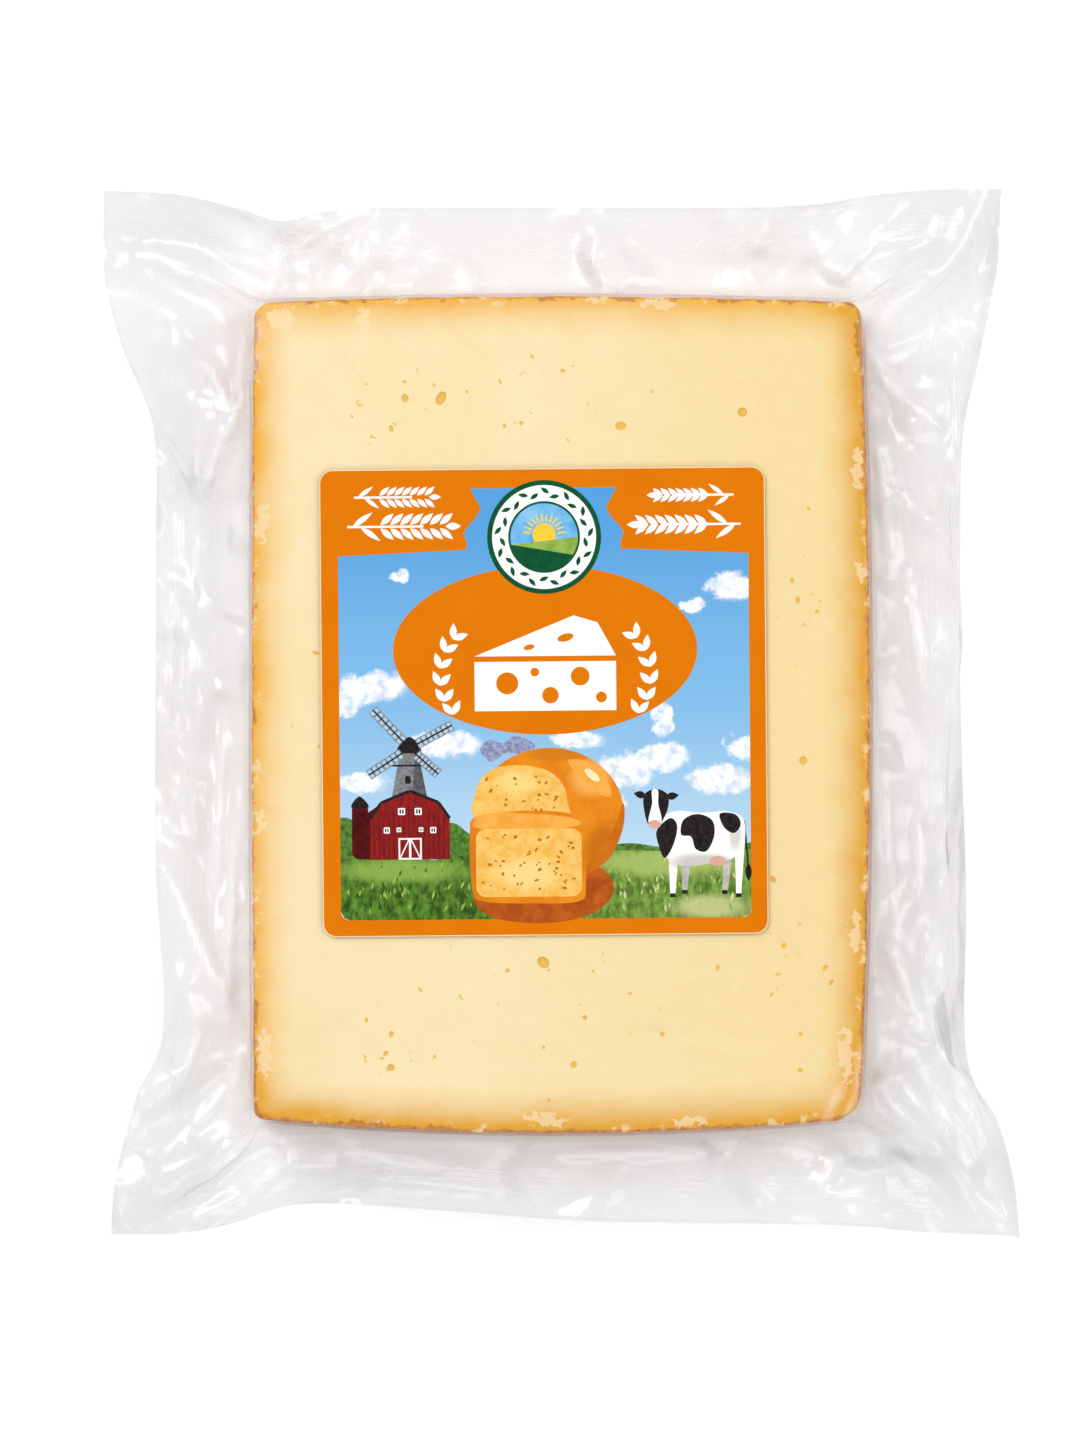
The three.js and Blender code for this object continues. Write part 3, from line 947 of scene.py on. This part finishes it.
def puff_group():
    """A soft round patch: 1 at its centre, fading to 0 at its size."""
    tree = bpy.data.node_groups.new("soft_patch", "ShaderNodeTree")
    for name in ("Place", "Centre", "Size"):
        tree.interface.new_socket(name, in_out="INPUT", socket_type="NodeSocketVector")
    tree.interface.new_socket("Mask", in_out="OUTPUT", socket_type="NodeSocketFloat")
    given = tree.nodes.new("NodeGroupInput").outputs
    away = node(tree, "VectorMath", {0: given["Place"], 1: given["Centre"]}, operation="SUBTRACT")
    shaped = node(tree, "VectorMath", {0: away.outputs[0], 1: given["Size"]}, operation="DIVIDE")
    length = node(tree, "VectorMath", {0: shaped.outputs[0]}, operation="LENGTH")
    result = tree.nodes.new("NodeGroupOutput")
    tree.links.new(ease(tree, length.outputs["Value"], 1, 0.35), result.inputs["Mask"])
    return tree


def puff(tree, place, x, y, wide, high):
    """A soft patch round x, y that fades out at wide and high from it."""
    made = tree.nodes.new("ShaderNodeGroup")
    made.node_tree = puff_tree
    tree.links.new(place, made.inputs["Place"])
    made.inputs["Centre"].default_value = (x, y, 0)
    made.inputs["Size"].default_value = (wide, high, 1000)
    return made.outputs["Mask"]


puff_tree = puff_group()


# ---------- cheese ----------

# Patches on the slab's edge: x and y from its centre, half their width and height in
# millimetres. The stains are brown and the scurf is pale and flaky.
STAINS = [(-34.8, -75, 7.5, 1.5), (-22, -75.6, 3, 1), (-55.7, 66, 1.5, 8), (54.8, 68, 1.4, 6),
          (30, -76, 6, 1.1), (12, 75.6, 6, 0.8), (-40, 75.2, 6, 0.9)]
SCURF = [(-2, -74, 5.5, 1.5), (-50, 71, 3.4, 2.6), (-35, 70, 1.4, 4), (54.4, 44, 1.1, 5),
         (55, 25, 1.1, 3), (24, -74.4, 5, 1), (54, -40, 1.3, 5), (52.4, -62, 1.8, 6),
         (18, 73.6, 4, 1.3), (-53.4, 34, 1.2, 5), (-53, -62, 1.6, 6), (-53.6, -20, 1, 3)]


def patches_of(tree, place, patches):
    """1 on any of the patches and 0 off them."""
    cover = 0.0
    for patch in patches:
        cover = maths(tree, "MAXIMUM", cover, puff(tree, place, *patch))
    return ease(tree, cover, 0.25, 0.45)


def inside_outline(tree, across, along):
    """How far a place is inside the slab's sides and inside its ends, in millimetres."""
    found = []
    for out, run, half, length, plus, minus in (
        (across, along, Slab.half.x, Slab.half.y, SWELL["right"], SWELL["left"]),
        (along, across, Slab.half.y, Slab.half.x, SWELL["back"], SWELL["front"]),
    ):
        share = maths(tree, "DIVIDE", run, length / MM)
        bow = maths(tree, "SUBTRACT", 1, times(tree, share, share))
        is_plus = maths(tree, "GREATER_THAN", out, 0)
        swell = scaled(tree, is_plus, (plus - minus) / MM, minus / MM)
        edge = scaled(tree, swell, bow, half / MM)
        found.append(maths(tree, "SUBTRACT", edge, maths(tree, "ABSOLUTE", out)))
    return found


CHEESE_TONES = {
    "paste": "F2DEB0", "paste_dull": "F0DBA8", "paste_deep": "EDD59A", "paste_pale": "F4E2BA",
    "dried": "E9AA26", "dried_deep": "DEA22E", "flake": "F3DCB0", "stain": "B06A2C",
    # eye: the deeper golden tone of the eyes' hollows is painted shade.
    "eye": "E6B443", "rind": "BF7A36", "rind_pale": "DC964A", "rind_dark": "8E5322",
}
# How far in the amber band reaches from the rind, how much that wavers, and how much further it
# reaches along the right side and the front, in millimetres.
DRIED_WIDTH = 8.5
DRIED_WAVER = 3.5
DRIED_EXTRA = 1.3


def cheese_material():
    """Pale paste, an amber edge, eyes golden with painted shade, and a brown rind with flakes and
    stains.
    """
    material, tree, skin = material_tree("semi_hard_cheese")
    tone = {name: rgb(code) for name, code in CHEESE_TONES.items()}
    place = millimetres(tree, Slab.centre)
    across, along, height = node(tree, "SeparateXYZ", {0: place}).outputs
    rim = maths(tree, "SMOOTH_MIN", *inside_outline(tree, across, along), 3)
    slow = cloudy(tree, place, 0.05, 2)
    patches = cloudy(tree, place, 0.35, 4)
    fine = cloudy(tree, place, 1.6, 5)
    waver = maths(tree, "SUBTRACT", cloudy(tree, place, 0.12, 2), 0.5)

    # The paste, and the amber band where it has dried towards the rind. The band and the rind
    # reach further in along the right side and the front.
    shown = maths(tree, "ADD", ease(tree, across, 44, 54), ease(tree, along, -62, -72))
    paste = mix(tree, ease(tree, slow, 0.35, 0.65), tone["paste"], tone["paste_dull"])
    paste = mix(tree, ease(tree, across, -20, 60), paste, tone["paste_deep"])
    pale = times(tree, ease(tree, patches, 0.45, 0.8), 0.3)
    paste = mix(tree, pale, paste, tone["paste_pale"])
    inward = scaled(tree, shown, -DRIED_EXTRA, scaled(tree, waver, DRIED_WAVER, rim))
    band = node(tree, "MapRange", {"Value": inward, "From Min": DRIED_WIDTH, "From Max": 0.2})
    dried = mix(tree, shown, tone["dried"], tone["dried_deep"])
    paste = mix(tree, maths(tree, "POWER", band.outputs[0], 1.7), paste, dried)

    # Pale flakes and brown spots along the edge, and the stains and the scurf with torn outlines.
    ragged = cloudy(tree, place, 0.5, 6, 0.7)
    broad = cloudy(tree, place, 0.2, 6, 0.72)
    near_rim = ease(tree, scaled(tree, ragged, 3.4, rim), 3.9, 2.7)
    flake = times(tree, ease(tree, broad, 0.57, 0.61), near_rim)
    torn = node(tree, "TexNoise", {"Vector": place, "Scale": 0.7, "Detail": 4.0})
    torn = shifted(tree, torn, place, (5, 5))
    flake = maths(tree, "MAXIMUM", flake, patches_of(tree, torn, SCURF))
    paste = mix(tree, times(tree, flake, 0.6), paste, tone["flake"])
    at_edge = ease(tree, scaled(tree, ragged, 1.8, rim), 2.2, 1.6)
    spot = times(tree, ease(tree, broad, 0.47, 0.42), at_edge)
    spot = maths(tree, "MAXIMUM", spot, patches_of(tree, torn, STAINS))
    paste = mix(tree, times(tree, spot, 0.75), paste, tone["stain"])

    # Inside an eye the paste is painted a deeper golden tone: painted shade in the hollow.
    face = Slab.half.z / MM
    sunk = ease(tree, maths(tree, "ABSOLUTE", height), face - 0.02, face - 0.12)
    eye_shade = times(tree, ease(tree, rim, 1.4, 2.2), sunk)
    paste = mix(tree, times(tree, eye_shade, 0.9), paste, tone["eye"])

    rind = mix(tree, ease(tree, ragged, 0.35, 0.65), tone["rind"], tone["rind_pale"])
    rind = mix(tree, ease(tree, fine, 0.5, 0.75), rind, tone["rind_dark"])
    rind_rim = scaled(tree, ragged, 1.1, scaled(tree, shown, -0.35, rim))
    bare = maths(tree, "SUBTRACT", 1, flake)
    colour = mix(tree, times(tree, ease(tree, rind_rim, 1.15, 0.75), bare), paste, rind)
    tree.links.new(colour, skin.inputs["Base Color"])
    rough = scaled(tree, fine, 0.2, 0.4)
    tree.links.new(rough, skin.inputs["Roughness"])
    skin.inputs["Specular IOR Level"].default_value = 0.3
    skin.inputs["Subsurface Weight"].default_value = 0.12
    skin.inputs["Subsurface Radius"].default_value = (1, 0.55, 0.25)
    skin.inputs["Subsurface Scale"].default_value = 2 * MM
    relief = scaled(tree, fine, 0.35, times(tree, near_rim, ragged))
    bumped(tree, skin, relief, 0.25 * MM, 0.6)
    return material


# ---------- inks ----------

def ink_material(name, colour, second=None, scale=0.5, stretch=(1, 1, 1), glows=()):
    """A printed ink, with a second tone clouded into it and soft glows of other tones."""
    material, tree, skin = material_tree("ink_" + name)
    place = millimetres(tree, (label_low + label_high) / 2)
    drawn = node(tree, "Mapping", {"Vector": place, "Scale": stretch}).outputs[0]
    clouded = ease(tree, cloudy(tree, drawn, scale, 5, 0.65), 0.35, 0.65)
    first = rgb(colour)
    other = rgb(second) if second else tuple(c * 0.93 for c in first)
    inked = mix(tree, clouded, first, other)
    for x, y, wide, high, glow in glows:
        mask = puff(tree, place, x, y, wide, high)
        inked = mix(tree, times(tree, mask, 0.8), inked, rgb(glow))
    tree.links.new(inked, skin.inputs["Base Color"])
    finish_paper(tree, skin, place)
    return material


def finish_paper(tree, skin, place):
    """Coated label paper: a low gloss with a faint grain."""
    grain = cloudy(tree, place, 6, 2)
    tree.links.new(scaled(tree, grain, 0.12, 0.36), skin.inputs["Roughness"])
    skin.inputs["Specular IOR Level"].default_value = 0.05
    bumped(tree, skin, grain, 0.01 * MM, 0.5)


# Clouds in the label's sky: x and y from its centre, and half their width and height.
CLOUDS = [
    (-31, 2.6, 7, 2.8), (-23, 4.4, 5, 1.8), (-36, 0, 4, 2.4), (-18, -7.5, 8, 2.4),
    (-33, -14.5, 5, 2), (34, 21, 5.5, 2.6), (27, 17.5, 3, 1.3), (23, 13, 3.5, 1.3),
    (-26, 22.6, 1.8, 1.2), (14.5, -12.5, 5.5, 3.2), (21.6, -10, 5.5, 2.2), (32, -14, 6.5, 2.8),
    (21.6, -3.4, 2.2, 3.4), (6, -6.6, 5, 2), (36, -8, 3, 2.4), (10, -18, 5, 2),
]


def sky_material():
    """The label's sky, paler towards the horizon, with fluffy clouds."""
    material, tree, skin = material_tree("ink_sky")
    place = millimetres(tree, (label_low + label_high) / 2)
    up = node(tree, "SeparateXYZ", {0: place}).outputs["Y"]
    colour = mix(tree, ease(tree, up, -34, 6), rgb("B7D3E6"), rgb("79B2DD"))
    colour = mix(tree, ease(tree, up, 0, 38), colour, rgb("5299D3"))
    warp = node(tree, "TexNoise", {"Vector": place, "Scale": 0.35, "Detail": 5.0, "Roughness": 0.6})
    fluffed = shifted(tree, warp, place, (6, 4))
    cover = 0.0
    for x, y, wide, high in CLOUDS:
        cloud = puff(tree, fluffed, x, y, wide * 1.3, high * 1.4)
        cover = maths(tree, "MAXIMUM", cover, cloud)
    wisps = cloudy(tree, place, 0.7, 6, 0.65)
    thick = ease(tree, times(tree, cover, maths(tree, "ADD", wisps, 0.4)), 0.15, 0.8)
    shade = ease(tree, cloudy(tree, place, 0.5, 4), 0.4, 0.7)
    cloud_colour = mix(tree, shade, rgb("F4F6FA"), rgb("C6D2E4"))
    tree.links.new(mix(tree, thick, colour, cloud_colour), skin.inputs["Base Color"])
    finish_paper(tree, skin, place)
    return material


INKS = {
    "paper": dict(colour="EFDDB8"),
    "orange": dict(colour="D97500", second="D67100", scale=0.08),
    "white": dict(colour="F6F5F2", second="F3F1EE",
                  glows=[(28.5, -29, 8, 2.2, "B9B2AE"), (34.6, -24, 1.6, 4, "C9C3BF")]),
    "shade": dict(colour="C6C1BB", second="A9A39C"),
    "ink": dict(colour="161415", second="2E2927", scale=1.5),
    "pink": dict(colour="D9A596"),
    "green": dict(colour="0F5634", second="0B492B"),
    "sun": dict(colour="F7C93A"),
    "badge_sky": dict(colour="50A2DA", second="84BFE4", scale=0.2),
    "sky_pale": dict(colour="A9C8DE"),
    "dusk": dict(colour="77779C", second="9DA9C6", scale=1.2),
    "trees": dict(colour="5F8A3A", second="3A5F22", scale=0.9),
    "grass": dict(colour="5F8A30", second="2C4D17", scale=0.45, stretch=(1.6, 0.8, 1),
                  glows=[(-26, -30.5, 16, 3, "8CAE4E")]),
    "meadow": dict(colour="7F9F45", second="4A6A26", scale=0.5, stretch=(1.6, 0.8, 1),
                   glows=[(22, -29, 18, 3.4, "A8BD66"), (30, -37, 9, 3, "C2C68A")]),
    "grass_light": dict(colour="98B552", second="7C9F43"),
    "grass_dark": dict(colour="1F3F13", second="355A1E"),
    "straw": dict(colour="D2D39E", second="AAB66C"),
    "stone": dict(colour="8B8C8F", second="67686B", scale=1.4),
    "stone_dark": dict(colour="626366", second="45464A", scale=1.4),
    "red": dict(colour="93211F", second="76191A", scale=0.9, stretch=(3, 0.4, 1)),
    "red_dark": dict(colour="5C1214", second="3C0C0E"),
    "rust": dict(colour="B95A1C", second="9C4512", scale=0.25),
    "rind": dict(colour="E3891C", second="D67A14", scale=0.18,
                 glows=[(8.4, -13.8, 5, 4.4, "F5B25A"), (11, -27, 5, 7, "B9600F"),
                        (2.4, -9.4, 8, 2, "C57418"), (-9, -20.6, 6, 1.6, "F2AE4E"),
                        (-12.6, -29, 2, 8, "C9701A")]),
    "rind_dark": dict(colour="BD6210", second="CB6F17", scale=0.2),
    "rind_light": dict(colour="F0AC4C", second="E89A38", scale=0.3),
    "glint": dict(colour="FBE0B0"),
    "paste": dict(colour="F0C36A", second="E7AE4C", scale=0.5,
                  glows=[(-3, -31, 8, 4, "F6D48A"), (-5, -14.6, 5, 3, "F6D282")]),
    "paste_dark": dict(colour="BE7C24", second="A5671A", scale=1),
}


# ---------- film ----------

# The weld's ribs: how far apart, and where the weld starts and ends from the pouch's edge, in
# millimetres.
RIB_PITCH = 1.15
WELD_START = 1
WELD_END = 9.6
# What one film lets through: far out on the margins, against the slab, in the pouch's wide
# corners, and along its cut edge. Letting more through against the slab is painted light that
# lifts the shadow the slab casts there; letting less through in the wide corners is painted
# shade that evens the film's tone.
CLEAR_MARGIN = (0.944, 0.945, 0.948)
CLEAR_LIFTING_SLAB_SHADOW = (0.974, 0.977, 0.981)
CLEAR_CORNER = (0.897, 0.899, 0.904)
CLEAR_CUT_EDGE = (0.86, 0.86, 0.87)
# The two sizes of facet: how many a millimetre holds, their turn and their share of the relief.
FACETS = ((0.045, 0.5, 1.0), (0.12, 2.1, 0.42))
FACET_DEPTH = 2.4 * MM
RIB_DEPTH = 0.008
# How milky one film is: over its margins, more of it near the slab, beside the slab, along
# a pinched fold and on the weld's ribs. The extra haze near the slab is painted light that lifts
# the slab's shadow; the haze along the folds and on the ribs is painted highlight.
HAZE = {"margin": 0.07, "shadow_lift": 0.33, "off_slab": 0.05, "fold": 0.3, "rib_sheen": 0.07}
# How much of the light it mirrors: on the slab, more in the margins, and more seen edge-on.
MIRROR = {"face": 0.012, "margin": 0.035, "edge_on": 0.2}
SHARP_GLOSS = 0.06
SOFT_GLOSS = 0.3


def film_material():
    """Clear film: what is behind it shows, with a sharp gloss and a little haze in the margins."""
    material, tree, skin = material_tree("clear_film")
    tree.nodes.remove(skin)
    stored = {name: node(tree, "Attribute", attribute_name=name).outputs["Fac"]
              for name in ("margin", "fold", "near_slab", "off_slab", "corner")}
    margin = stored["margin"]

    # Flat little facets with sharp ridges between them, calm in places.
    place = millimetres(tree, (0, 0, middle))
    bend = node(tree, "TexNoise", {"Vector": place, "Scale": 0.1, "Detail": 2.0})
    bent = shifted(tree, bend, place, (10, 10), still=0)
    height = 0.0
    for scale, turn, share in FACETS:
        turned = node(tree, "Mapping", {"Vector": bent, "Rotation": (0, 0, turn),
                                        "Scale": (1, 0.55, 1)}).outputs[0]
        facets = node(tree, "TexVoronoi", {"Vector": turned, "Scale": scale},
                      distance="MANHATTAN").outputs["Distance"]
        height = scaled(tree, facets, share, height)
    lively = ease(tree, cloudy(tree, place, 0.035, 2), 0.46, 0.62)
    lively = scaled(tree, lively, 0.8, 0.2)
    lively = times(tree, lively, scaled(tree, margin, 0.95, 0.05))
    height = times(tree, height, lively)

    # The weld's fine ribs, pressed in along the pouch's edge.
    sheet = node(tree, "UVMap", uv_map="film").outputs[0]
    sheet = node(tree, "SeparateXYZ", {0: sheet}).outputs
    insets = [scaled(tree, maths(tree, "ABSOLUTE", sheet[axis]), -side / MM, side / MM / 2)
              for axis, side in (("X", FILM_WIDTH), ("Y", FILM_LENGTH))]
    inset = maths(tree, "MINIMUM", *insets)
    band = times(tree, ease(tree, inset, WELD_START, WELD_START + 0.6),
                 ease(tree, inset, WELD_END, WELD_END - 0.8))
    worn = ease(tree, cloudy(tree, place, 0.08, 4, 0.6), 0.46, 0.56)
    ribs = maths(tree, "SINE", times(tree, inset, 2 * math.pi / RIB_PITCH))
    ribs = times(tree, ribs, times(tree, band, worn))
    height = scaled(tree, ribs, RIB_DEPTH, height)

    bump = node(tree, "Bump", {"Height": height, "Distance": FACET_DEPTH, "Strength": 1.0})
    bump = bump.outputs[0]
    edge = ease(tree, inset, 0.9, 0.3)
    # Clearer and milkier near the slab: painted light lifting the slab's shadow. Less clear in the
    # wide corners: painted shade.
    shadow_lift = times(tree, stored["near_slab"], stored["near_slab"])
    clear = mix(tree, shadow_lift, CLEAR_MARGIN, CLEAR_LIFTING_SLAB_SHADOW)
    clear = mix(tree, stored["corner"], clear, CLEAR_CORNER)
    clear = mix(tree, times(tree, edge, 0.35), clear, CLEAR_CUT_EDGE)
    through = node(tree, "BsdfTransparent", {"Color": clear})
    haze = node(tree, "BsdfDiffuse", {"Color": (0.93, 0.93, 0.94, 1), "Normal": bump})
    sharp = node(tree, "BsdfGlossy", {"Roughness": SHARP_GLOSS, "Normal": bump})
    sheen = node(tree, "BsdfGlossy", {"Roughness": SOFT_GLOSS, "Normal": bump})
    gloss = node(tree, "MixShader", {0: 0.5, 1: sharp.outputs[0], 2: sheen.outputs[0]})
    milky = times(tree, margin, scaled(tree, shadow_lift, HAZE["shadow_lift"], HAZE["margin"]))
    milky = scaled(tree, stored["off_slab"], HAZE["off_slab"], milky)
    # Milky along the folds and on the ribs: painted highlight.
    milky = scaled(tree, maths(tree, "POWER", stored["fold"], 1.5), HAZE["fold"], milky)
    milky = scaled(tree, maths(tree, "MAXIMUM", ribs, 0), HAZE["rib_sheen"], milky)
    hazed = node(tree, "MixShader", {0: milky, 1: through.outputs[0], 2: haze.outputs[0]})
    facing = node(tree, "LayerWeight", {"Normal": bump}).outputs["Facing"]
    straight = scaled(tree, margin, MIRROR["margin"], MIRROR["face"])
    mirror = scaled(tree, maths(tree, "POWER", facing, 4), MIRROR["edge_on"], straight)
    shiny = node(tree, "MixShader", {0: mirror, 1: hazed.outputs[0], 2: gloss.outputs[0]})
    lets_light = node(tree, "BsdfTransparent", {"Color": (0.975, 0.975, 0.975, 1)})
    is_shadow = node(tree, "LightPath").outputs["Is Shadow Ray"]
    film = node(tree, "MixShader", {0: is_shadow, 1: shiny.outputs[0], 2: lets_light.outputs[0]})
    tree.links.new(film.outputs[0], tree.nodes["Material Output"].inputs["Surface"])
    return material


film_finish = film_material()
for film in (upper, lower):
    film.data.materials.append(film_finish)
    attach(film, "root")
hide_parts("upper_film")
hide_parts("lower_film")

slab.data.materials.clear()
slab.data.materials.append(cheese_material())
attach(slab, "root")
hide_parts("cheese_slab")

for ink in inks:
    label.data.materials.append(sky_material() if ink == "sky" else ink_material(ink, **INKS[ink]))
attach(label, "root")
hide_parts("label")


# ---------- the stage ----------

FLOOR_SIZE = 3
FLOOR_TONE = (0.93, 0.93, 0.93, 1)
# The soft boxes: place, size and watts. The key is behind and to the left.
LAMPS = {
    "key": ((-0.75, 0.8, 1.25), (1.0, 1.0), 13.4),
    "fill": ((1.1, 0.2, 1.0), (0.6, 1.1), 5.8),
    "low": ((0.1, -1.2, 1.0), (1.3, 0.5), 3.9),
}
WORLD_STRENGTH = 0.6
# The camera looks straight down from above the slab.
CAMERA_OFFSET = (-3.36 * MM, -2.1 * MM)
CAMERA_HEIGHT = 1.6
CAMERA_LENS = 218.8

bm = bmesh.new()
bmesh.ops.create_grid(bm, x_segments=1, y_segments=1, size=FLOOR_SIZE)
floor = finished(bm, "floor")
floor_finish, _, floor_skin = material_tree("white_floor")
floor_skin.inputs["Base Color"].default_value = FLOOR_TONE
floor_skin.inputs["Roughness"].default_value = 0.9
floor.data.materials.append(floor_finish)

for name, (place, size, watts) in LAMPS.items():
    lamp = bpy.data.lights.new(name, "AREA")
    lamp.shape = "RECTANGLE"
    lamp.size, lamp.size_y = size
    lamp.energy = watts
    holder = bpy.data.objects.new(name, lamp)
    holder.location = place
    holder.rotation_euler = Vector(place).to_track_quat("Z", "Y").to_euler()
    bpy.context.scene.collection.objects.link(holder)

world = bpy.data.worlds.new("studio")
world.use_nodes = True
sky = world.node_tree.nodes["Background"]
sky.inputs["Color"].default_value = (1, 1, 1, 1)
sky.inputs["Strength"].default_value = WORLD_STRENGTH
bpy.context.scene.world = world
bpy.context.scene.view_settings.view_transform = "Standard"

camera_data = bpy.data.cameras.new("camera")
camera_data.sensor_width = 36
camera_data.lens = CAMERA_LENS
camera_data.clip_end = 20
camera = bpy.data.objects.new("camera", camera_data)
camera.location = (*CAMERA_OFFSET, middle + CAMERA_HEIGHT)
bpy.context.scene.collection.objects.link(camera)
bpy.context.scene.camera = camera
